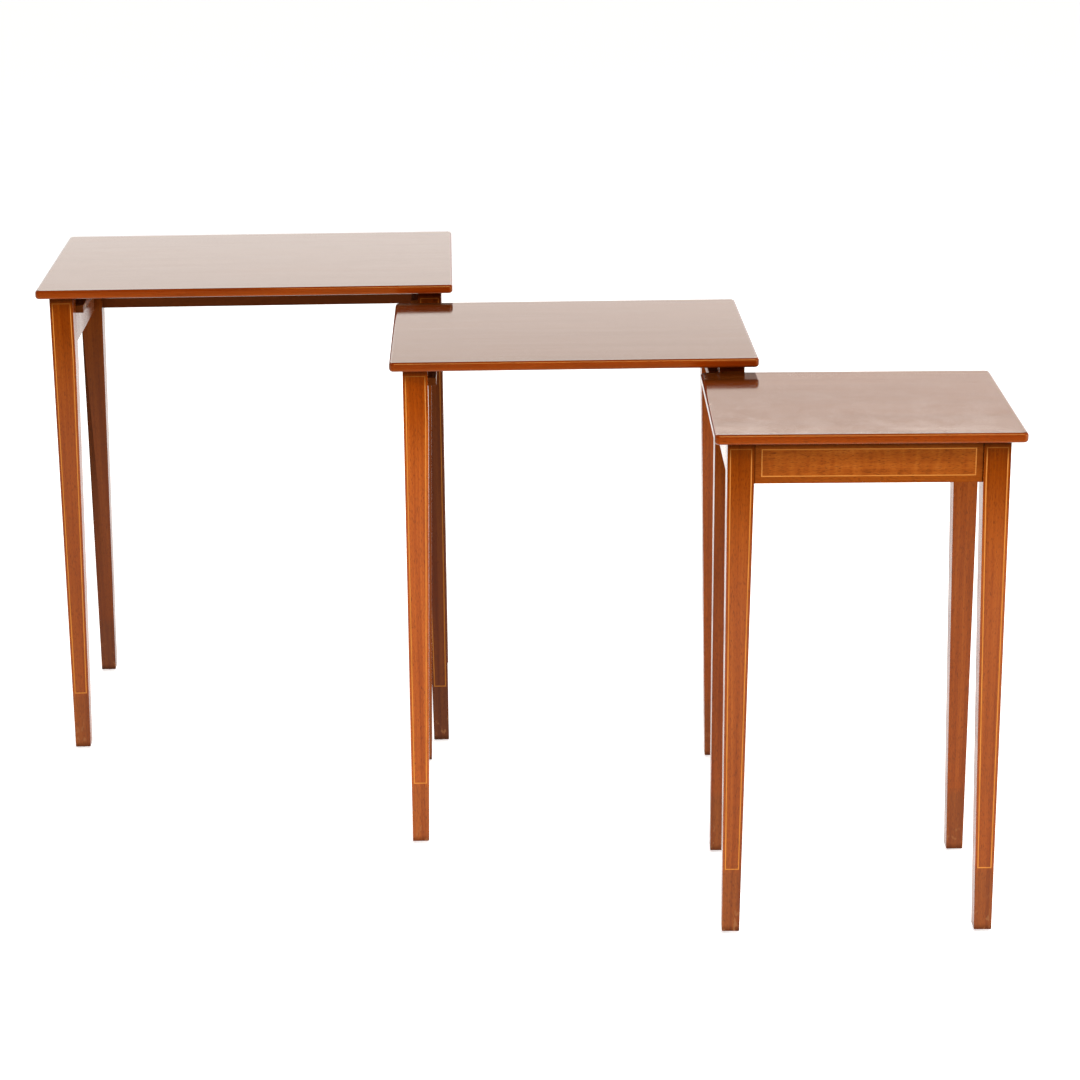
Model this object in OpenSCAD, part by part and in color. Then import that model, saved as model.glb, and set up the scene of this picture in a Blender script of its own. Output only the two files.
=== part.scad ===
// Nest of three side tables: square tapered legs, thin soft-edged tops,
// runners under the two larger tops, and boxwood stringing on the front legs.
// The tables stand drawn out from one another, to the right and forwards.
// Every table is drawn about its own centre, front towards -Y, feet at Z = 0.

/* [Tops] */
// Width of the large top
large_w = 560; // [540:1:600]
// Depth of the large top
large_d = 384; // [370:1:420]
// Width of the middle top
middle_w = 455; // [440:1:458]
// Depth of the middle top
middle_d = 346; // [325:1:347]
// Width of the small top
small_w = 356; // [330:1:358]
// Depth of the small top
small_d = 303; // [280:1:308]
// Thickness of every top
top_t = 12; // [10:0.5:14]
// Radius of the softened top edges
edge_r = 3.8; // [2:0.1:4]
// Corner radius of the tops in plan
corner_r = 6; // [5:0.5:14]

/* [Heights] */
// Height of the large table
large_h = 666; // [600:1:720]
// Drop in height from each table to the next
step_h = 19.5; // [18:0.5:26]

/* [Legs] */
// Square section of a leg at the top
leg_top = 31; // [28:0.5:34]
// Square section of a leg at the foot
leg_foot = 21; // [18:0.5:24]
// Distance from the ends of the top to the legs
side_overhang = 16; // [12:0.5:20]
// Distance from the front edge of the top to the legs
front_overhang = 22; // [16:0.5:26]
// Distance from the back edge of the top to the legs
back_overhang = 16; // [12:0.5:20]
// Chamfer under each foot
foot_chamfer = 1.2; // [0.5:0.1:2]

/* [Rails] */
// Depth of the rails of the large table
large_rail = 88; // [70:1:92]
// Depth of the rails of the middle table
middle_rail = 68; // [56:1:72]
// Depth of the rails of the small table
small_rail = 52; // [48:1:60]
// Thickness of the rails and the apron
rail_t = 18; // [16:0.5:20]
// Distance that rails stand back from the outer leg faces
rail_recess = 2; // [1:0.5:4]

/* [Runners] */
// Height of a runner
runner_h = 10.5; // [8:0.5:14]
// Distance that a runner stands in from the inner face of the front leg
runner_proud = 10; // [6:0.5:11]
// Gap between a runner and the top that slides over it
runner_gap = 0.5; // [0.5:0.1:1]

/* [Stringing] */
// Width of the stringing
string_w = 1.3; // [1:0.1:2]
// Depth of the stringing
string_t = 1; // [0.8:0.1:1.2]
// Inset of the stringing from both edges of a leg
string_inset = 2.8; // [2:0.1:4]
// Distance from the underside of the top to the stringing
string_drop = 10; // [6:0.5:14]
// Height of the lower end of the stringing above the floor
string_foot = 84; // [60:1:100]

/* [Hardware] */
// Diameter of a glide
glide_d = 12; // [10:0.5:14]
// Height of a glide
glide_h = 3.5; // [3:0.1:5]
// Diameter of the screws that hold the tops
top_screw_d = 4; // [3.5:0.1:4.5]
// Diameter of the screws that hold the runners
runner_screw_d = 3.5; // [3:0.1:4]

/* [Arrangement] */
// Distance of the middle table to the right of the large one
middle_right = 429; // [400:1:460]
// Distance of the middle table in front of the large one
middle_front = 385; // [380:1:420]
// Turn of the middle table
middle_turn = -0.6; // [-1:0.1:1]
// Distance of the small table to the right of the large one
small_right = 756; // [730:1:790]
// Distance of the small table in front of the large one
small_front = 704; // [700:1:760]
// Turn of the small table
small_turn = -2; // [-2.4:0.1:0]

/* [Hidden] */
$fn = 64;

// Table numbers, sides and rows
LARGE = 0;
MIDDLE = 1;
SMALL = 2;
LEFT = -1;
RIGHT = 1;
FRONT = -1;
BACK = 1;

// Sizes of the three tables, by table number
top_w = [large_w, middle_w, small_w];
top_d = [large_d, middle_d, small_d];
rail_depth = [large_rail, middle_rail, small_rail];
function table_h(k) = large_h - k * step_h;
function top_under(k) = table_h(k) - top_t;

// Places of the three tables, with the large one at the start
place_x = [0, middle_right, small_right];
place_y = [0, -middle_front, -small_front];
turn = [0, middle_turn, small_turn];

// Reach of a turned top from its centre, along X and along Y
function reach_x(k) = cos(turn[k]) * (top_w[k] / 2 - corner_r)
    + abs(sin(turn[k])) * (top_d[k] / 2 - corner_r) + corner_r;
function reach_y(k) = abs(sin(turn[k])) * (top_w[k] / 2 - corner_r)
    + cos(turn[k]) * (top_d[k] / 2 - corner_r) + corner_r;

// Centre of the whole arrangement in plan
centre_x = (place_x[SMALL] + reach_x(SMALL) - reach_x(LARGE)) / 2;
centre_y = (reach_y(LARGE) + place_y[SMALL] - reach_y(SMALL)) / 2;

// Outer corner of a leg, from the table's centre
leg_x = [for (w = top_w) w / 2 - side_overhang];
front_y = [for (d = top_d) d / 2 - front_overhang];
back_y = [for (d = top_d) d / 2 - back_overhang];

// Mortise and tenon joints
tenon_t = 8;
tenon_l = 14;
tenon_shoulder = 8;
tenon_in = rail_recess + (rail_t - tenon_t) / 2;

// Inner faces of a side rail and of a runner, from the outer leg faces
rail_in = rail_recess + rail_t;
runner_in = leg_top + runner_proud;

// Gap between the ends of a runner and the legs
runner_clear = 1;

// Stringing on the small table's apron
apron_side = 8;
apron_top = 11;
apron_bottom = 8;

// Screws and nails
top_screw_l = 32;
top_screw_bite = 8;
top_head_d = 8;
top_head_h = 2.5;
bore_d = 9;
runner_screw_l = 27;
runner_head_d = 7;
runner_head_h = 2;
nail_d = 2.4;
nail_l = 12;

mahogany = [0.46, 0.20, 0.10];
figured = [0.58, 0.30, 0.13];
boxwood = [0.84, 0.55, 0.28];
steel = [0.62, 0.62, 0.60];
brass = [0.72, 0.58, 0.32];

// ---- placing ----

module at_table(k) {
    translate([place_x[k] - centre_x, place_y[k] - centre_y, 0])
        rotate([0, 0, turn[k]])
            children();
}

// Carries a leg drawn at the front left, outer corner at 0, to its own corner
module at_corner(k, side, row) {
    y = row == FRONT ? -front_y[k] : back_y[k];
    translate([side * leg_x[k], y, 0])
        mirror([side == RIGHT ? 1 : 0, 0, 0])
            mirror([0, row == BACK ? 1 : 0, 0])
                children();
}

// Extrudes an outline drawn in X and Z along +Y
module along_y(length) {
    translate([0, length, 0])
        rotate([90, 0, 0])
            linear_extrude(length)
                children();
}

// Extrudes an outline drawn in Y and Z along +X
module along_x(length) {
    rotate([90, 0, 90])
        linear_extrude(length)
            children();
}

// ---- tops ----

// Cross-section of a board with rounded edges, standing on Y = 0
module board_section(w) {
    translate([-w / 2 + edge_r, 0])
        square([w - 2 * edge_r, top_t]);
    translate([-w / 2, edge_r])
        square([w, top_t - 2 * edge_r]);
    for (x = [-1, 1], y = [edge_r, top_t - edge_r])
        translate([x * (w / 2 - edge_r), y])
            circle(r = edge_r);
}

module soft_board(w, d) {
    flat_w = w - 2 * corner_r;
    flat_d = d - 2 * corner_r;
    translate([-flat_w / 2, 0, 0])
        along_x(flat_w)
            board_section(d);
    translate([0, -flat_d / 2, 0])
        along_y(flat_d)
            board_section(w);
    for (x = [-1, 1], y = [-1, 1])
        translate([x * flat_w / 2, y * flat_d / 2, 0])
            rotate_extrude()
                intersection() {
                    board_section(2 * corner_r);
                    square([corner_r, top_t]);
                }
}

module table_top(k) {
    color(mahogany)
        at_table(k)
            difference() {
                translate([0, 0, top_under(k)])
                    soft_board(top_w[k], top_d[k]);
                top_screw_places(k)
                    translate([0, 0, -1])
                        cylinder(d = top_screw_d, h = top_screw_bite + 1);
            }
}

// ---- legs ----

// One face of a leg, outer edge at X = 0, foot at Y = 0, straight above the
// lower edge of the rail and tapered on the inner edge below it
module leg_face(h, straight) {
    c = foot_chamfer;
    polygon([
        [c, 0], [0, c], [0, h], [leg_top, h], [leg_top, h - straight],
        [leg_foot, c], [leg_foot - c, 0]
    ]);
}

// Mortise cut into the inner side face of a leg, for a rail along Y
module mortise(k) {
    z = rail_depth[k] - tenon_shoulder;
    translate([tenon_in, leg_top - tenon_l, top_under(k) - z])
        cube([tenon_t, tenon_l + 1, z - tenon_shoulder]);
}

module leg_body(k) {
    h = top_under(k) - glide_h;
    translate([0, 0, glide_h])
        intersection() {
            along_y(leg_top)
                leg_face(h, rail_depth[k]);
            along_x(leg_top)
                leg_face(h, rail_depth[k]);
        }
}

module swap_xy() {
    mirror([1, -1, 0])
        children();
}

module leg(k, side, row) {
    // The open-fronted tables have no rail between the front legs
    cross_rail = row == BACK || k == SMALL;
    color(mahogany)
        at_table(k)
            at_corner(k, side, row)
                difference() {
                    leg_body(k);
                    mortise(k);
                    if (cross_rail)
                        swap_xy()
                            mortise(k);
                    if (row == FRONT)
                        translate([0, -1, 0])
                            along_y(string_t + 1)
                                leg_string_outline(k);
                    translate([leg_foot / 2, leg_foot / 2, 0])
                        cylinder(d = nail_d, h = glide_h + nail_l);
                }
}

// ---- stringing ----

// Distance from the outer edge of a leg to its inner edge, at a height
function leg_width(k, z) =
    let(knee = top_under(k) - rail_depth[k])
    let(heel = glide_h + foot_chamfer)
    z > knee ? leg_top : leg_foot + (leg_top - leg_foot) * (z - heel) / (knee - heel);

// Filled outline that follows the leg's front face, inset all round
module string_area(k, inset) {
    low = string_foot + inset - string_inset;
    high = top_under(k) - string_drop - inset + string_inset;
    knee = top_under(k) - rail_depth[k];
    polygon([
        [inset, low], [inset, high], [leg_top - inset, high],
        [leg_top - inset, knee], [leg_width(k, low) - inset, low]
    ]);
}

module leg_string_outline(k) {
    difference() {
        string_area(k, string_inset);
        string_area(k, string_inset + string_w);
    }
}

module leg_stringing(k, side) {
    color(boxwood)
        at_table(k)
            at_corner(k, side, FRONT)
                along_y(string_t)
                    leg_string_outline(k);
}

// ---- rails ----

// Length between the legs, along the sides and across the table
function side_span(k) = front_y[k] + back_y[k] - 2 * leg_top;
function cross_span(k) = 2 * (leg_x[k] - leg_top);

// Rail along X with a tenon at each end, outer face at Y = 0, top at Z = 0
module rail(span, depth) {
    translate([-span / 2, 0, -depth])
        cube([span, rail_t, depth]);
    translate([-span / 2 - tenon_l, (rail_t - tenon_t) / 2, -depth + tenon_shoulder])
        cube([span + 2 * tenon_l, tenon_t, depth - 2 * tenon_shoulder]);
}

// Carries a rail drawn along X to the left or right side of a table
module at_side(k, side) {
    translate([side * (leg_x[k] - rail_recess), (back_y[k] - front_y[k]) / 2, top_under(k)])
        rotate([0, 0, side * 90])
            children();
}

module side_rail(k, side) {
    color(mahogany)
        at_table(k)
            difference() {
                at_side(k, side)
                    rail(side_span(k), rail_depth[k]);
                top_screw_places(k)
                    screw_bore(k);
                if (k != SMALL)
                    runner_screw_places(k, side)
                        cylinder(d = runner_screw_d, h = runner_screw_l);
            }
}

module back_rail(k) {
    color(mahogany)
        at_table(k)
            difference() {
                translate([0, back_y[k] - rail_recess, top_under(k)])
                    rotate([0, 0, 180])
                        rail(cross_span(k), rail_depth[k]);
                top_screw_places(k)
                    screw_bore(k);
            }
}

// ---- runners ----

function runner_top(k) = top_under(k + 1) - runner_gap;

module runner(k, side) {
    width = runner_in - rail_in;
    color(mahogany)
        at_table(k)
            difference() {
                at_side(k, side)
                    translate([
                        -side_span(k) / 2 + runner_clear,
                        rail_t,
                        runner_top(k) - runner_h - top_under(k)
                    ])
                        cube([side_span(k) - 2 * runner_clear, width, runner_h]);
                runner_screw_places(k, side)
                    runner_screw();
            }
}

// ---- apron of the small table ----

apron_w = cross_span(SMALL);
apron_face_y = -front_y[SMALL] + rail_recess;
inlay_w = apron_w - 2 * apron_side;
inlay_h = small_rail - apron_top - apron_bottom;

// Rectangle of the inlay on the apron's face, inset all round
module apron_area(inset) {
    translate([-inlay_w / 2 + inset, top_under(SMALL) - small_rail + apron_bottom + inset])
        square([inlay_w - 2 * inset, inlay_h - 2 * inset]);
}

module at_apron_face() {
    at_table(SMALL)
        translate([0, apron_face_y, 0])
            children();
}

module apron() {
    color(mahogany)
        at_table(SMALL)
            difference() {
                translate([0, apron_face_y, top_under(SMALL)])
                    rail(apron_w, small_rail);
                translate([0, apron_face_y - 1, 0])
                    along_y(string_t + 1)
                        apron_area(0);
                top_screw_places(SMALL)
                    screw_bore(SMALL);
            }
}

module apron_stringing() {
    color(boxwood)
        at_apron_face()
            along_y(string_t)
                difference() {
                    apron_area(0);
                    apron_area(string_w);
                }
}

module apron_panel() {
    color(figured)
        at_apron_face()
            along_y(string_t)
                apron_area(string_w);
}

// ---- glides and screws ----

module glide() {
    // A dome of this radius is glide_d wide at a height of glide_h
    dome_r = (pow(glide_d / 2, 2) + pow(glide_h, 2)) / (2 * glide_h);
    intersection() {
        translate([0, 0, dome_r])
            sphere(r = dome_r);
        translate([-glide_d, -glide_d, 0])
            cube([2 * glide_d, 2 * glide_d, glide_h]);
    }
    translate([0, 0, glide_h - 1])
        cylinder(d = nail_d, h = nail_l + 1);
}

module glides(k) {
    color(steel)
        at_table(k)
            for (side = [LEFT, RIGHT], row = [FRONT, BACK])
                at_corner(k, side, row)
                    translate([leg_foot / 2, leg_foot / 2, 0])
                        glide();
}

// Carries a screw to each place where a rail holds the top, on the underside
module top_screw_places(k) {
    mid = rail_recess + rail_t / 2;
    shift_y = (back_y[k] - front_y[k]) / 2;
    for (side = [LEFT, RIGHT], end = [-1, 1])
        translate([side * (leg_x[k] - mid), shift_y + end * side_span(k) / 3, top_under(k)])
            children();
    for (end = [-1, 1])
        translate([end * cross_span(k) / 4, back_y[k] - mid, top_under(k)])
            children();
    if (k == SMALL)
        for (end = [-1, 1])
            translate([end * cross_span(k) / 4, -front_y[k] + mid, top_under(k)])
                children();
}

// Shank hole and deep bore, from the underside of the top down through a rail
module screw_bore(k) {
    shank = top_screw_l - top_screw_bite - top_head_h;
    translate([0, 0, -shank])
        cylinder(d = top_screw_d, h = shank + 1);
    translate([0, 0, -rail_depth[k] - 1])
        cylinder(d = bore_d, h = rail_depth[k] - shank + 1);
}

module top_screws(k) {
    shank = top_screw_l - top_head_h;
    color(steel)
        at_table(k)
            top_screw_places(k)
                translate([0, 0, top_screw_bite - shank]) {
                    cylinder(d = top_screw_d, h = shank);
                    translate([0, 0, -top_head_h])
                        cylinder(d = top_head_d, h = top_head_h);
                }
}

// Carries a screw, drawn along +Z from its head, into a runner from inside
module runner_screw_places(k, side) {
    z = runner_top(k) - runner_h / 2;
    shift_y = (back_y[k] - front_y[k]) / 2;
    for (end = [-1, 0, 1])
        translate([side * (leg_x[k] - runner_in), shift_y + end * side_span(k) * 0.42, z])
            rotate([0, side * 90, 0])
                children();
}

module runner_screw() {
    cylinder(d1 = runner_head_d, d2 = runner_screw_d, h = runner_head_h);
    cylinder(d = runner_screw_d, h = runner_screw_l);
}

module runner_screws(k) {
    color(brass)
        at_table(k)
            for (side = [LEFT, RIGHT])
                runner_screw_places(k, side)
                    runner_screw();
}

// ---- large table ----

table_top(LARGE);  // large_top
leg(LARGE, LEFT, FRONT);  // large_front_left_leg
leg(LARGE, RIGHT, FRONT);  // large_front_right_leg
leg(LARGE, LEFT, BACK);  // large_back_left_leg
leg(LARGE, RIGHT, BACK);  // large_back_right_leg
side_rail(LARGE, LEFT);  // large_left_rail
side_rail(LARGE, RIGHT);  // large_right_rail
back_rail(LARGE);  // large_back_rail
runner(LARGE, LEFT);  // large_left_runner
runner(LARGE, RIGHT);  // large_right_runner
leg_stringing(LARGE, LEFT);  // large_left_stringing
leg_stringing(LARGE, RIGHT);  // large_right_stringing
glides(LARGE);  // large_glides
top_screws(LARGE);  // large_top_screws
runner_screws(LARGE);  // large_runner_screws

// ---- middle table ----

table_top(MIDDLE);  // middle_top
leg(MIDDLE, LEFT, FRONT);  // middle_front_left_leg
leg(MIDDLE, RIGHT, FRONT);  // middle_front_right_leg
leg(MIDDLE, LEFT, BACK);  // middle_back_left_leg
leg(MIDDLE, RIGHT, BACK);  // middle_back_right_leg
side_rail(MIDDLE, LEFT);  // middle_left_rail
side_rail(MIDDLE, RIGHT);  // middle_right_rail
back_rail(MIDDLE);  // middle_back_rail
runner(MIDDLE, LEFT);  // middle_left_runner
runner(MIDDLE, RIGHT);  // middle_right_runner
leg_stringing(MIDDLE, LEFT);  // middle_left_stringing
leg_stringing(MIDDLE, RIGHT);  // middle_right_stringing
glides(MIDDLE);  // middle_glides
top_screws(MIDDLE);  // middle_top_screws
runner_screws(MIDDLE);  // middle_runner_screws

// ---- small table ----

table_top(SMALL);  // small_top
leg(SMALL, LEFT, FRONT);  // small_front_left_leg
leg(SMALL, RIGHT, FRONT);  // small_front_right_leg
leg(SMALL, LEFT, BACK);  // small_back_left_leg
leg(SMALL, RIGHT, BACK);  // small_back_right_leg
side_rail(SMALL, LEFT);  // small_left_rail
side_rail(SMALL, RIGHT);  // small_right_rail
back_rail(SMALL);  // small_back_rail
apron();  // small_apron
apron_panel();  // small_apron_panel
apron_stringing();  // small_apron_stringing
leg_stringing(SMALL, LEFT);  // small_left_stringing
leg_stringing(SMALL, RIGHT);  // small_right_stringing
glides(SMALL);  // small_glides
top_screws(SMALL);  // small_top_screws
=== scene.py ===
"""A nest of three polished mahogany tables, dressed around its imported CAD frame.

The CAD nodes stay as they are. Each gets soft arrises and a wood, boxwood or
metal material that is made from nodes, in the table's own directions: X runs
along the front, Y towards the back and Z up, from the middle of the top.
"""

import math

import bpy
from mathutils import Matrix, Vector


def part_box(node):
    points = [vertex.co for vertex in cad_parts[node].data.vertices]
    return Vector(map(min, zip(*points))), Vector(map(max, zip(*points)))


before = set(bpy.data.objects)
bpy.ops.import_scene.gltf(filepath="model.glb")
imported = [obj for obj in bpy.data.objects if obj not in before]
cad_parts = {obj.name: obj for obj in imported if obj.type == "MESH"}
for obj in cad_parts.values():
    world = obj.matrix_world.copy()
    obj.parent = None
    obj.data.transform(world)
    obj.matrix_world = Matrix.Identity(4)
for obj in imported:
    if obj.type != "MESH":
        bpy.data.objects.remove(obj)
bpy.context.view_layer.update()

MM = 0.001

# How far each table is turned where it stands, in degrees
TURNS = {"large": 0.0, "middle": -0.6, "small": -2.0}

# ---- node helpers ----


class Tree:
    """Adds nodes to a material or a world, and links them as it goes."""

    def __init__(self, owner):
        owner.use_nodes = True
        self.tree = owner.node_tree
        self.tree.nodes.clear()

    def add(self, kind, inputs=None, **settings):
        """A node with these settings.

        inputs maps a socket to a value, or to another socket.
        """
        made = self.tree.nodes.new("ShaderNode" + kind)
        for key, value in settings.items():
            setattr(made, key, value)
        for key, value in (inputs or {}).items():
            if isinstance(value, bpy.types.NodeSocket):
                self.tree.links.new(value, made.inputs[key])
            else:
                made.inputs[key].default_value = value
        return made

    def math(self, operation, a, b=0.0, c=0.0):
        return self.add("Math", {0: a, 1: b, 2: c}, operation=operation).outputs[0]

    def times(self, a, b):
        return self.math("MULTIPLY", a, b)

    def inverse(self, a):
        return self.math("SUBTRACT", 1.0, a)

    def weigh(self, value, weight, onto):
        """onto, plus weight times how far value is from its middle, 0.5."""
        return self.math("MULTIPLY_ADD", self.math("SUBTRACT", value, 0.5), weight, onto)

    def stretch(self, value, low, high, to_low=0.0, to_high=1.0):
        """Carries low..high smoothly to to_low..to_high, and holds it there beyond."""
        inputs = {
            "Value": value,
            "From Min": low,
            "From Max": high,
            "To Min": to_low,
            "To Max": to_high,
        }
        made = self.add("MapRange", inputs, interpolation_type="SMOOTHSTEP")
        return made.outputs["Result"]

    def mix(self, factor, a, b, blend="MIX"):
        """b is a socket, or a colour of three numbers."""
        if isinstance(b, tuple):
            b = (*b, 1.0)
        inputs = {0: factor, 6: a, 7: b}
        return self.add("Mix", inputs, data_type="RGBA", blend_type=blend).outputs[2]

    def tint(self, factor, color, by):
        return self.mix(factor, color, by, "MULTIPLY")

    def ramp(self, factor, stops):
        made = self.add("ValToRGB", {"Fac": factor})
        bar = made.color_ramp
        while len(bar.elements) < len(stops):
            bar.elements.new(0.5)
        for element, (place, color) in zip(bar.elements, stops):
            element.position = place
            element.color = (*color, 1.0)
        return made.outputs["Color"]

    def noise(self, vector, size, detail=2.0, roughness=0.5, distortion=0.0):
        """Noise from 0 to 1, with patches of this size in metres along X, Y and Z."""
        mapped = self.add("Mapping", {"Vector": vector, "Scale": [1 / s for s in size]})
        inputs = {
            "Vector": mapped.outputs[0],
            "Scale": 1.0,
            "Detail": detail,
            "Roughness": roughness,
            "Distortion": distortion,
        }
        return self.add("TexNoise", inputs).outputs["Fac"]

    def bump(self, height, distance, under=None):
        """A normal for this height, over the normal that is under it."""
        inputs = {"Height": height, "Strength": 1.0, "Distance": distance}
        if under is not None:
            inputs["Normal"] = under
        return self.add("Bump", inputs).outputs[0]

    def shader(self, inputs):
        """Closes a material with these values on its shader."""
        made = self.add("BsdfPrincipled", inputs)
        self.add("OutputMaterial", {"Surface": made.outputs[0]})


def material_tree(name):
    material = bpy.data.materials.new(name)
    return material, Tree(material)


def scaled(stops, factor):
    """The stops of a ramp, with their colours made lighter or darker."""
    return [(place, tuple(min(1.0, c * factor) for c in color)) for place, color in stops]


# ---- the tables' own directions ----


def table_of(node):
    return node.split("_")[0]


def centre_of(table):
    """The middle of the top's upper face, in the frame."""
    low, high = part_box(table + "_top")
    return Vector(((low.x + high.x) / 2, (low.y + high.y) / 2, high.z))


def own_matrix(table):
    """From the frame to the table's own directions."""
    turn = Matrix.Rotation(-math.radians(TURNS[table]), 4, "Z")
    return turn @ Matrix.Translation(-centre_of(table))


def own_box(node):
    """The node's lowest and highest corners in its table's own directions."""
    matrix = own_matrix(table_of(node))
    corners = [matrix @ v.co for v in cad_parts[node].data.vertices]
    low = Vector(min(c[i] for c in corners) for i in range(3))
    high = Vector(max(c[i] for c in corners) for i in range(3))
    return low, high


def own_place(tree, table):
    """Sockets for the place and the normal, in the table's own directions."""
    turn = (0.0, 0.0, -math.radians(TURNS[table]))
    coordinates = tree.add("TexCoord").outputs
    place = tree.add("Mapping", {
        "Vector": coordinates["Object"],
        "Location": own_matrix(table).to_translation(),
        "Rotation": turn,
    })
    normal = tree.add("Mapping", {
        "Vector": coordinates["Normal"],
        "Rotation": turn,
    }, vector_type="NORMAL")
    return place.outputs[0], normal.outputs[0]


# ---- wood ----

# Polished mahogany, from its dark lines to its light ones
MAHOGANY = [
    (0.00, (0.160, 0.026, 0.002)),
    (0.35, (0.270, 0.050, 0.004)),
    (0.65, (0.355, 0.076, 0.007)),
    (1.00, (0.460, 0.118, 0.014)),
]
# The lighter veneer inside the apron's stringing
FLAME = [
    (0.00, (0.190, 0.038, 0.004)),
    (0.35, (0.300, 0.064, 0.007)),
    (0.65, (0.370, 0.088, 0.010)),
    (1.00, (0.470, 0.130, 0.020)),
]
BOXWOOD = [
    (0.25, (0.54, 0.180, 0.030)),
    (0.75, (0.72, 0.280, 0.060)),
]
# Amber shellac, which warms what a face reflects straight back
SHELLAC = (1.0, 0.60, 0.15)
WOOD_IOR = 1.5

PORES = (0.045, 0.010, 0.003)
END_GRAIN = (0.085, 0.020, 0.006)
WORN = (0.30, 0.125, 0.050)
# Faces that were only stained, on the side rails, and painted shade for the back rail's inner
# face and for the undersides of the tops
BARE_SIDE = (0.270, 0.095, 0.045)
BACK_RAIL_SHADE = (0.066, 0.016, 0.006)
UNDERSIDE_SHADE = (0.085, 0.032, 0.016)

# The colours below multiply the wood's own.
# The colour of the tops' borders, kept out of the painted shade on the faces, and deeper and
# redder than the wood, for a top of tone 1
BORDER = (0.72, 0.42, 0.12)
# Painted shade under the tops' overhang
UNDER_TOP_SHADE = (0.34, 0.22, 0.11)
# Painted shade in the slot over the runners
SLOT_SHADE = (0.22, 0.16, 0.14)
# Painted shade in the gaps beside the apron
JOINT_SHADE = (0.25, 0.18, 0.14)
# Painted shade high on the legs, under the top
LEG_HIGH_SHADE = (0.68, 0.53, 0.15)
LEG_ARRIS = (0.50, 0.42, 0.36)
LEG_FOOT = (0.84, 0.95, 1.10)
# Painted shade at the very foot of the legs, by the floor
FOOT_SHADE = (0.48, 0.42, 0.40)
# Added to the legs' colour: a painted reflection of the pale floor
FLOOR_REFLECTION = (0.0, 0.009, 0.014)

# Which of X, Y and Z run along, across and through a board
GRAIN_AXES = {"X": (0, 1, 2), "Y": (1, 0, 2), "Z": (2, 0, 1)}
# Every board is cut from its own place in the log, and no two share one
LOG_STEPS = (1.618, 2.414, 3.303)
LOG_LENGTH = 7.0


class Board:
    """Sockets that describe one board: its place, its grain and its faces."""

    def __init__(self, tree, node, grain, seed):
        self.place, self.normal = own_place(tree, table_of(node))
        self.xyz = tree.add("SeparateXYZ", {0: self.place}).outputs
        self.facing = tree.add("SeparateXYZ", {0: self.normal}).outputs
        self.grain = tree.add("CombineXYZ", {
            i: tree.math("ADD", self.xyz[axis], (seed * step) % LOG_LENGTH)
            for i, (axis, step) in enumerate(zip(GRAIN_AXES[grain], LOG_STEPS))
        }).outputs[0]
        end = tree.math("ABSOLUTE", self.facing[GRAIN_AXES[grain][0]])
        self.end_grain = tree.stretch(end, 0.6, 0.9)
        self.low, self.high = own_box(node)


def facing(tree, board, axis, sign, low=0.6, high=0.9):
    """1 on the faces that look along this axis, to this side."""
    return tree.stretch(tree.times(board.facing[axis], sign), low, high)


def gap_between(tree, place, low, high):
    """How far a place is inside low and high, from the nearer of the two."""
    offset = tree.math("ABSOLUTE", tree.math("SUBTRACT", place, (high + low) / 2))
    return tree.math("SUBTRACT", (high - low) / 2, offset)


def wood_color(tree, board, colors, contrast, stripe, wave, curl=0.0):
    """The polished colour of a board, and its pores and fibres.

    stripe is how wide its ribbon stripes are, and wave how far they wander,
    in metres. curl is the strength of light bands that lean across the grain.
    """
    warp = tree.noise(board.grain, (0.30, 0.06, 0.06), detail=1.0)
    bent = tree.weigh(warp, wave, 0.0)
    parts = tree.add("SeparateXYZ", {0: board.grain}).outputs
    flowing = tree.add("CombineXYZ", {
        0: parts[0],
        1: tree.math("ADD", parts[1], bent),
        2: tree.math("ADD", parts[2], bent),
    }).outputs[0]
    ribbon = tree.noise(flowing, (0.45, stripe, stripe * 2), detail=2.0, roughness=0.55)
    lines = tree.noise(flowing, (0.50, 0.0022, 0.0045), detail=3.0, roughness=0.6)
    fibre = tree.noise(flowing, (0.045, 0.0008, 0.0008), detail=2.0, roughness=0.65)
    pores = tree.noise(flowing, (0.0050, 0.00042, 0.00042), detail=0.0)
    mixed = tree.weigh(ribbon, 1.25 * contrast, 0.5)
    mixed = tree.weigh(lines, 0.85 * contrast, mixed)
    mixed = tree.weigh(fibre, 0.55 * contrast, mixed)
    if curl:
        turn = (0.0, 0.0, math.radians(24))
        leaning = tree.add("Mapping", {"Vector": board.grain, "Rotation": turn}).outputs[0]
        bands = tree.noise(leaning, (0.011, 0.050, 0.050), detail=2.0, distortion=0.6)
        mixed = tree.weigh(bands, curl, mixed)
    color = tree.ramp(mixed, colors)
    dashes = tree.stretch(pores, 0.60, 0.72)
    color = tree.mix(tree.times(dashes, 0.7 * contrast), color, PORES)
    # slow changes of colour over the board
    patches = tree.noise(board.grain, (0.35, 0.09, 0.09), detail=1.0)
    shade = tree.ramp(patches, [(0.3, (0.80, 0.76, 0.72)), (0.7, (1.0, 1.0, 1.0))])
    return tree.tint(0.45, color, shade), dashes, fibre


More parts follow.
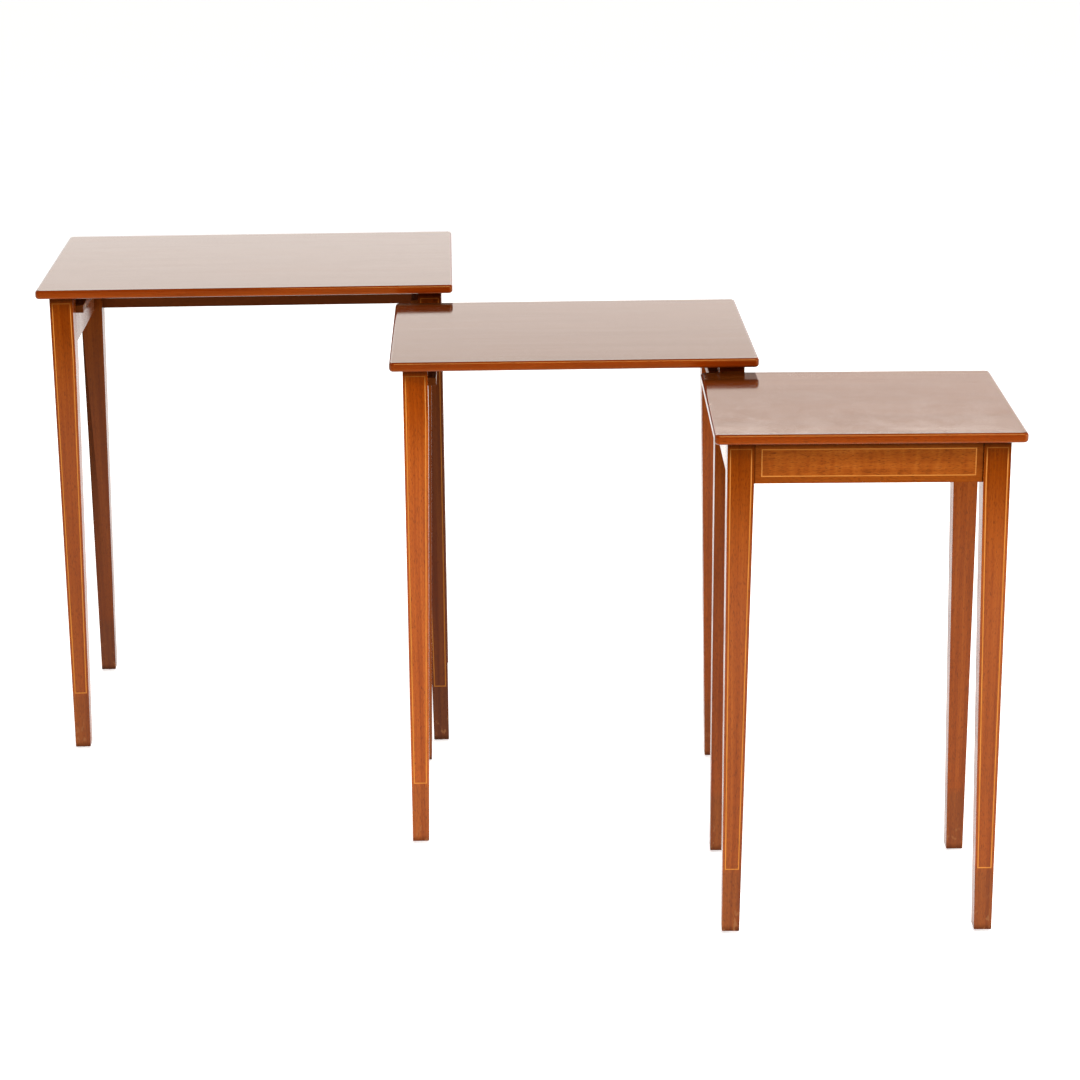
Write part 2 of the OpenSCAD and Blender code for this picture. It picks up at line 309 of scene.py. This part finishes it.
def polished(tree, board, wood, rough, gloss, bare_and_shade=None, bare_and_shade_color=UNDERSIDE_SHADE,
             sawn=False, wear=None, relief=1.0, ripple=0.0):
    """Closes a wood material: polish, end grain, bare faces, painted shade on some faces, and
    wear.

    wood is what wood_color made. relief is the depth of the grain in the
    surface, and ripple the height, in metres, of its waves in the polish.
    """
    color, dashes, fibre = wood
    color = tree.mix(tree.times(board.end_grain, 0.55), color, END_GRAIN)
    cloud = tree.noise(board.place, (0.05, 0.05, 0.05), detail=3.0, roughness=0.6)
    shine = tree.stretch(cloud, 0.3, 0.7, rough * 0.85, rough * 1.25)
    shine = tree.math("MULTIPLY_ADD", dashes, 0.05, shine)
    shine = tree.math("MULTIPLY_ADD", board.end_grain, 0.10, shine)
    height = tree.math("MULTIPLY_ADD", dashes, -0.6, tree.times(fibre, 0.5))
    if wear is not None:
        color = tree.mix(tree.times(wear, 0.6), color, WORN)
        shine = tree.math("MULTIPLY_ADD", wear, 0.25, shine)
        height = tree.math("MULTIPLY_ADD", wear, -1.5, height)
    if bare_and_shade is not None:
        color = tree.mix(tree.times(bare_and_shade, 0.8), color, bare_and_shade_color)
        shine = tree.math("MULTIPLY_ADD", bare_and_shade, 0.04, shine)
    if sawn:
        saw = tree.noise(board.grain, (0.0022, 0.040, 0.040), detail=2.0)
        height = tree.math("MULTIPLY_ADD", tree.times(saw, bare_and_shade), 7.0, height)
        streaks = tree.ramp(saw, [(0.35, (0.62, 0.56, 0.50)), (0.60, (1.0, 1.0, 1.0))])
        color = tree.tint(bare_and_shade, color, streaks)
    normal = tree.bump(height, 0.010 * MM * relief)
    # the hand-rubbed polish is never quite flat
    swell = tree.noise(board.grain, (0.25, 0.04, 0.04), detail=1.0)
    normal = tree.bump(swell, 0.06 * MM, normal)
    if ripple:
        # the grain still telegraphs through the polish
        waves = tree.noise(board.grain, (0.30, 0.011, 0.011), detail=2.0)
        normal = tree.bump(waves, ripple, normal)
    tree.shader({
        "Base Color": color,
        "Roughness": shine,
        "Normal": normal,
        "IOR": WOOD_IOR,
        "Specular IOR Level": gloss,
        "Specular Tint": (*SHELLAC, 1.0),
    })


def shaded_under_top(tree, board, color, reach=25.0 * MM):
    """Painted shade in the corner right under the top."""
    corner = tree.stretch(board.xyz[2], -reach, -17.0 * MM)
    return tree.tint(corner, color, UNDER_TOP_SHADE)


def leg_material(node, seed, tone):
    material, tree = material_tree(node + "_wood")
    board = Board(tree, node, "Z", seed)
    # the tone is the leg's painted light and shade
    colors = scaled(MAHOGANY, tone)
    color, dashes, fibre = wood_color(tree, board, colors, 0.75, 9.0 * MM, 6.0 * MM)
    # scuffs from shoes and brooms, close to the floor
    height = tree.math("SUBTRACT", board.xyz[2], board.low.z)
    low_down = tree.stretch(height, 0.0, 60.0 * MM, 1.0, 0.0)
    marks = tree.noise(board.place, (0.006, 0.006, 0.012), detail=4.0)
    wear = tree.times(low_down, tree.stretch(marks, 0.56, 0.66))
    # painted shade on the upper part of the leg, under the top
    upper_shade = tree.stretch(board.xyz[2], -150.0 * MM, -30.0 * MM)
    color = tree.tint(upper_shade, color, LEG_HIGH_SHADE)
    # further down, a painted reflection of the pale floor greys it a little
    floor_reflected = tree.stretch(board.xyz[2], -250.0 * MM, -50.0 * MM, 1.0, 0.0)
    color = tree.mix(floor_reflected, color, FLOOR_REFLECTION, "ADD")
    # the feet, below the stringing, are greyer still
    foot = tree.stretch(height, 72.0 * MM, 88.0 * MM, 1.0, 0.0)
    color = tree.tint(foot, color, LEG_FOOT)
    # stain gathered along the arrises
    arris = tree.math("ABSOLUTE", tree.times(board.facing[0], board.facing[1]))
    color = tree.tint(tree.stretch(arris, 0.04, 0.30), color, LEG_ARRIS)
    # painted shade right under the top
    color = shaded_under_top(tree, board, color)
    # painted shade at the very foot, next to the floor
    end = tree.stretch(height, 1.0 * MM, 9.0 * MM, 1.0, 0.0)
    color = tree.tint(end, color, FOOT_SHADE)
    polished(tree, board, (color, dashes, fibre), rough=0.20, gloss=0.14, wear=wear)
    return material


def side_rail_material(node, seed):
    """The inner face was only stained, and shows the saw's marks."""
    material, tree = material_tree(node + "_wood")
    board = Board(tree, node, "Y", seed)
    colors = scaled(MAHOGANY, 0.95)
    color, dashes, fibre = wood_color(tree, board, colors, 0.8, 11.0 * MM, 8.0 * MM)
    inside = facing(tree, board, 0, 1 if "_left_" in node else -1)
    below = facing(tree, board, 2, -1)
    bare_and_shade = tree.math("MAXIMUM", inside, tree.times(below, 0.5))
    # painted shade in the slot over the runner
    slot = tree.times(inside, tree.stretch(board.xyz[2], -34.0 * MM, -30.0 * MM))
    bare_and_shade = tree.times(bare_and_shade, tree.inverse(slot))
    color = tree.tint(slot, color, SLOT_SHADE)
    polished(tree, board, (color, dashes, fibre), rough=0.14, gloss=0.18,
             bare_and_shade=bare_and_shade, bare_and_shade_color=BARE_SIDE, sawn=True)
    return material


def back_rail_material(node, seed):
    """The inner face is painted dark as shade, and the underside partly so."""
    material, tree = material_tree(node + "_wood")
    board = Board(tree, node, "X", seed)
    wood = wood_color(tree, board, scaled(MAHOGANY, 0.85), 0.8, 11.0 * MM, 8.0 * MM)
    inside = facing(tree, board, 1, -1)
    below = facing(tree, board, 2, -1)
    bare_and_shade = tree.math("MAXIMUM", inside, tree.times(below, 0.5))
    polished(tree, board, wood, rough=0.14, gloss=0.06, bare_and_shade=bare_and_shade, bare_and_shade_color=BACK_RAIL_SHADE)
    return material


def runner_material(node, seed):
    material, tree = material_tree(node + "_wood")
    board = Board(tree, node, "Y", seed)
    wood = wood_color(tree, board, scaled(MAHOGANY, 0.65), 0.8, 10.0 * MM, 6.0 * MM)
    # the next table's top has rubbed the upper face smooth in streaks
    streak = tree.noise(board.grain, (0.20, 0.0015, 0.0015), detail=2.0)
    wear = tree.times(facing(tree, board, 2, 1), tree.stretch(streak, 0.40, 0.65))
    polished(tree, board, wood, rough=0.36, gloss=0.2, wear=wear)
    return material


def top_material(node, seed, tone):
    material, tree = material_tree(node + "_wood")
    board = Board(tree, node, "X", seed)
    # the tone is the top's painted shade
    colors = scaled(MAHOGANY, tone)
    color, dashes, fibre = wood_color(tree, board, colors, 1.1, 24.0 * MM, 20.0 * MM)
    below = facing(tree, board, 2, -1, 0.7, 0.95)
    # the face keeps the top's painted shade; the borders are lifted back out of it, deeper and
    # redder
    border = tree.stretch(tree.math("ABSOLUTE", board.facing[2]), 0.985, 0.80)
    color = tree.tint(border, color, tuple(c / tone for c in BORDER))
    # small knocks along the two ends
    gap = gap_between(tree, board.xyz[0], board.low.x, board.high.x)
    end_rim = tree.stretch(gap, 2.0 * MM, 10.0 * MM, 1.0, 0.0)
    knocks = tree.noise(board.place, (0.010, 0.016, 0.010), detail=4.0, roughness=0.6)
    wear = tree.times(end_rim, tree.stretch(knocks, 0.64, 0.70))
    # the underside is painted dark as shade
    polished(tree, board, (color, dashes, fibre), rough=0.075, gloss=0.45,
             bare_and_shade=below, wear=wear, relief=0.2, ripple=0.028 * MM)
    return material


def apron_material(node, seed):
    """The apron outside its stringing, which is cross-banded."""
    material, tree = material_tree(node + "_wood")
    board = Board(tree, node, "X", seed)
    colors = scaled(MAHOGANY, 0.78)
    color, dashes, fibre = wood_color(tree, board, colors, 0.7, 9.0 * MM, 6.0 * MM)
    # painted shade in the narrow gaps where the apron meets the legs
    left = own_box(table_of(node) + "_front_left_leg")[1].x
    right = own_box(table_of(node) + "_front_right_leg")[0].x
    gap = gap_between(tree, board.xyz[0], left, right)
    joint_shade = tree.stretch(gap, 0.5 * MM, 1.5 * MM, 1.0, 0.0)
    # painted shade right under the top
    color = shaded_under_top(tree, board, tree.tint(joint_shade, color, JOINT_SHADE))
    polished(tree, board, (color, dashes, fibre), rough=0.18, gloss=0.14, relief=0.5)
    return material


def apron_panel_material(node, seed):
    """The figured veneer inside the apron's stringing."""
    material, tree = material_tree(node + "_wood")
    board = Board(tree, node, "X", seed)
    color, dashes, fibre = wood_color(tree, board, scaled(FLAME, 0.96), 0.90,
                                      14.0 * MM, 20.0 * MM, curl=1.1)
    # painted shade right under the top
    color = shaded_under_top(tree, board, color)
    polished(tree, board, (color, dashes, fibre), rough=0.18, gloss=0.14, relief=0.5)
    return material


def stringing_material(node, seed, tone, grain, shade_reach):
    material, tree = material_tree(node + "_boxwood")
    board = Board(tree, node, grain, seed)
    streaks = tree.noise(board.grain, (0.030, 0.0005, 0.0005), detail=2.0)
    aged = tree.noise(board.grain, (0.060, 0.020, 0.020), detail=2.0)
    color = tree.ramp(streaks, scaled(BOXWOOD, tone))
    shade = tree.ramp(aged, [(0.3, (0.78, 0.70, 0.60)), (0.7, (1.0, 1.0, 1.0))])
    # painted shade right under the top
    color = shaded_under_top(tree, board, tree.tint(0.7, color, shade), shade_reach)
    tree.shader({
        "Base Color": color,
        "Roughness": tree.stretch(aged, 0.3, 0.7, 0.20, 0.30),
        "Normal": tree.bump(streaks, 0.01 * MM),
        "Specular IOR Level": 0.14,
        "Specular Tint": (*SHELLAC, 1.0),
    })
    return material


# ---- metal ----


def metal_material(name, color, tarnish, rough):
    """Turned or stamped metal with fine scratches and dull patches."""
    material, tree = material_tree(name)
    place = tree.add("TexCoord").outputs["Object"]
    scratches = tree.noise(place, (0.0004, 0.0004, 0.006), detail=3.0)
    dull = tree.noise(place, (0.004, 0.004, 0.004), detail=4.0)
    dull = tree.stretch(dull, 0.42, 0.66)
    tree.shader({
        "Base Color": tree.mix(tree.times(dull, 0.6), (*color, 1.0), tarnish),
        "Metallic": 1.0,
        "Roughness": tree.math("MULTIPLY_ADD", dull, 0.22, rough),
        "Normal": tree.bump(scratches, 0.02 * MM),
    })
    return material


METALS = {
    "glides": metal_material("glide_nickel", (0.62, 0.60, 0.57), (0.24, 0.20, 0.16), 0.24),
    "top_screws": metal_material("screw_steel", (0.50, 0.49, 0.47), (0.20, 0.13, 0.08), 0.34),
    "runner_screws": metal_material("screw_brass", (0.66, 0.47, 0.20), (0.22, 0.13, 0.05), 0.30),
}

# ---- dressing the nodes ----

# Painted light and shade on each leg: lighter and darker copies of one wood, by how the light
# falls on it
LEG_LIGHT_AND_SHADE = {
    "large": {"front_left": 0.94, "front_right": 0.48, "back_left": 0.56, "back_right": 0.70},
    "middle": {"front_left": 1.37, "front_right": 0.80, "back_left": 0.75, "back_right": 0.85},
    "small": {"front_left": 0.94, "front_right": 0.94, "back_left": 0.82, "back_right": 0.86},
}
# Painted shade on the tops' faces: darker copies of the legs' wood, by how the light falls on
# each top
TOP_SHADE_TONES = {"large": 0.16, "middle": 0.18, "small": 0.31}
# The tone of the wood round the apron's stringing
APRON_TONE = 0.85


def soften(node, width):
    """Rounds the node's arrises."""
    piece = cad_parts[node]
    weld = piece.modifiers.new("weld", "WELD")
    weld.merge_threshold = 0.01 * MM
    bevel = piece.modifiers.new("arris", "BEVEL")
    bevel.width = width
    bevel.segments = 2
    bevel.limit_method = "ANGLE"
    bevel.angle_limit = math.radians(40)
    bevel.harden_normals = True


def stringing_tone(wood):
    """Stringing takes part of the tone of the wood that it is let into, which on the legs is
    painted light and shade.
    """
    return min(1.0, 0.35 + 0.65 * wood)


def finish_for(node, seed):
    """The node's material, and how wide its arrises are, or None."""
    table, part = node.split("_", 1)
    if part == "top":
        return top_material(node, seed, TOP_SHADE_TONES[table]), None
    if part.endswith("_leg"):
        corner = part.removesuffix("_leg")
        return leg_material(node, seed, LEG_LIGHT_AND_SHADE[table][corner]), 0.35 * MM
    if part == "back_rail":
        return back_rail_material(node, seed), 0.5 * MM
    if part.endswith("_rail"):
        return side_rail_material(node, seed), 0.5 * MM
    if part.endswith("_runner"):
        return runner_material(node, seed), 0.6 * MM
    if part == "apron":
        return apron_material(node, seed), 0.3 * MM
    if part == "apron_panel":
        return apron_panel_material(node, seed), None
    if part == "apron_stringing":
        tone = stringing_tone(APRON_TONE)
        return stringing_material(node, seed, tone, "X", 25.0 * MM), None
    if part.endswith("_stringing"):
        tone = stringing_tone(LEG_LIGHT_AND_SHADE[table]["front_" + part.removesuffix("_stringing")])
        return stringing_material(node, seed, tone, "Z", 38.0 * MM), None
    return METALS[part], None


for seed, node in enumerate(sorted(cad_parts), start=1):
    material, arris = finish_for(node, seed)
    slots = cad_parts[node].data.materials
    slots.clear()
    slots.append(material)
    if arris is not None:
        soften(node, arris)

# ---- floor, light and camera ----

FLOOR_HALF = 40.0
# The camera, in metres and degrees
CAMERA_AT = (-0.0541, -3.6007, 1.4563)
CAMERA_DOWN = 17.09
CAMERA_TURN = -1.83
CAMERA_ROLL = -0.47
CAMERA_LENS = 94.35
CAMERA_SENSOR = 36.0

# Name, place, target, width and height in metres, and power in watts
LIGHTS = [
    ("key", (0.8, -2.4, 3.1), (0.05, 0.0, 0.35), 2.6, 1.6, 98),
    ("side", (3.1, -1.7, 1.3), (0.1, 0.0, 0.35), 1.5, 1.5, 40),
    ("back", (0.1, 2.6, 2.2), (0.0, 0.0, 0.5), 2.4, 1.4, 48),
]
# The colour of the wall, by the height of the direction
WALL = [
    (0.060, (1.0, 1.000, 1.000)),
    (0.150, (1.0, 0.940, 0.900)),
    (0.195, (1.0, 0.925, 0.880)),
    (0.225, (1.0, 0.875, 0.815)),
    (0.250, (1.0, 0.840, 0.750)),
    (0.500, (1.0, 0.940, 0.880)),
]
HORIZON_STRENGTH = 1.1


def make_floor():
    """A wide pale floor of painted board, lit from within but for its front."""
    half = FLOOR_HALF
    mesh = bpy.data.meshes.new("floor")
    corners = [(-half, -half, 0), (half, -half, 0), (half, half, 0), (-half, half, 0)]
    mesh.from_pydata(corners, [], [(0, 1, 2, 3)])
    floor = bpy.data.objects.new("floor", mesh)
    bpy.context.scene.collection.objects.link(floor)
    material, tree = material_tree("floor_paint")
    place = tree.add("TexCoord").outputs["Object"]
    cloud = tree.noise(place, (0.6, 0.6, 0.6), detail=2.0)
    depth = tree.add("SeparateXYZ", {0: place}).outputs[1]
    tree.shader({
        "Base Color": tree.ramp(cloud, [(0.0, (0.86, 0.86, 0.86)), (1.0, (0.88, 0.88, 0.88))]),
        "Roughness": 0.8,
        "Specular IOR Level": 0.2,
        "Emission Color": (1.0, 1.0, 1.0, 1.0),
        "Emission Strength": tree.stretch(depth, -2.4, -0.9, 0.05, 0.62),
    })
    mesh.materials.append(material)


def make_world():
    """White all round, brightest behind the tables and dimmer in front."""
    world = bpy.data.worlds.new("studio")
    bpy.context.scene.world = world
    tree = Tree(world)
    direction = tree.add("TexCoord").outputs["Generated"]
    _, depth, height = tree.add("SeparateXYZ", {0: direction}).outputs
    behind = tree.stretch(height, 0.207, 0.337, 1.94, 0.55)
    in_front = tree.stretch(height, 0.2, 0.8, 0.12, 0.35)
    side = tree.stretch(depth, -0.2, 0.5)
    strength = tree.math("ADD", tree.times(behind, side),
                         tree.times(in_front, tree.inverse(side)))
    # plain white where the floor ends, all the way round
    far = tree.stretch(height, 0.06, 0.14, 1.0, 0.0)
    strength = tree.math("ADD", tree.times(far, HORIZON_STRENGTH),
                         tree.times(strength, tree.inverse(far)))
    background = tree.add("Background", {"Color": tree.ramp(height, WALL), "Strength": strength})
    tree.add("OutputWorld", {"Surface": background.outputs[0]})


def area_light(name, place, target, width, height, power):
    data = bpy.data.lights.new(name, "AREA")
    data.shape = "RECTANGLE"
    data.size, data.size_y = width, height
    data.energy = power
    light = bpy.data.objects.new(name, data)
    light.location = place
    aim = Vector(target) - Vector(place)
    light.rotation_euler = aim.to_track_quat("-Z", "Y").to_euler()
    bpy.context.scene.collection.objects.link(light)


def make_camera():
    data = bpy.data.cameras.new("camera")
    data.sensor_width = CAMERA_SENSOR
    data.lens = CAMERA_LENS
    data.clip_start, data.clip_end = 0.05, 200.0
    camera = bpy.data.objects.new("camera", data)
    turn = Matrix.Rotation(math.radians(CAMERA_TURN), 4, "Z")
    tilt = Matrix.Rotation(math.radians(90 - CAMERA_DOWN), 4, "X")
    roll = Matrix.Rotation(math.radians(CAMERA_ROLL), 4, "Z")
    camera.matrix_world = Matrix.Translation(CAMERA_AT) @ turn @ tilt @ roll
    bpy.context.scene.collection.objects.link(camera)
    bpy.context.scene.camera = camera


make_floor()
make_world()
for light in LIGHTS:
    area_light(*light)
make_camera()
bpy.context.scene.view_settings.view_transform = "Standard"
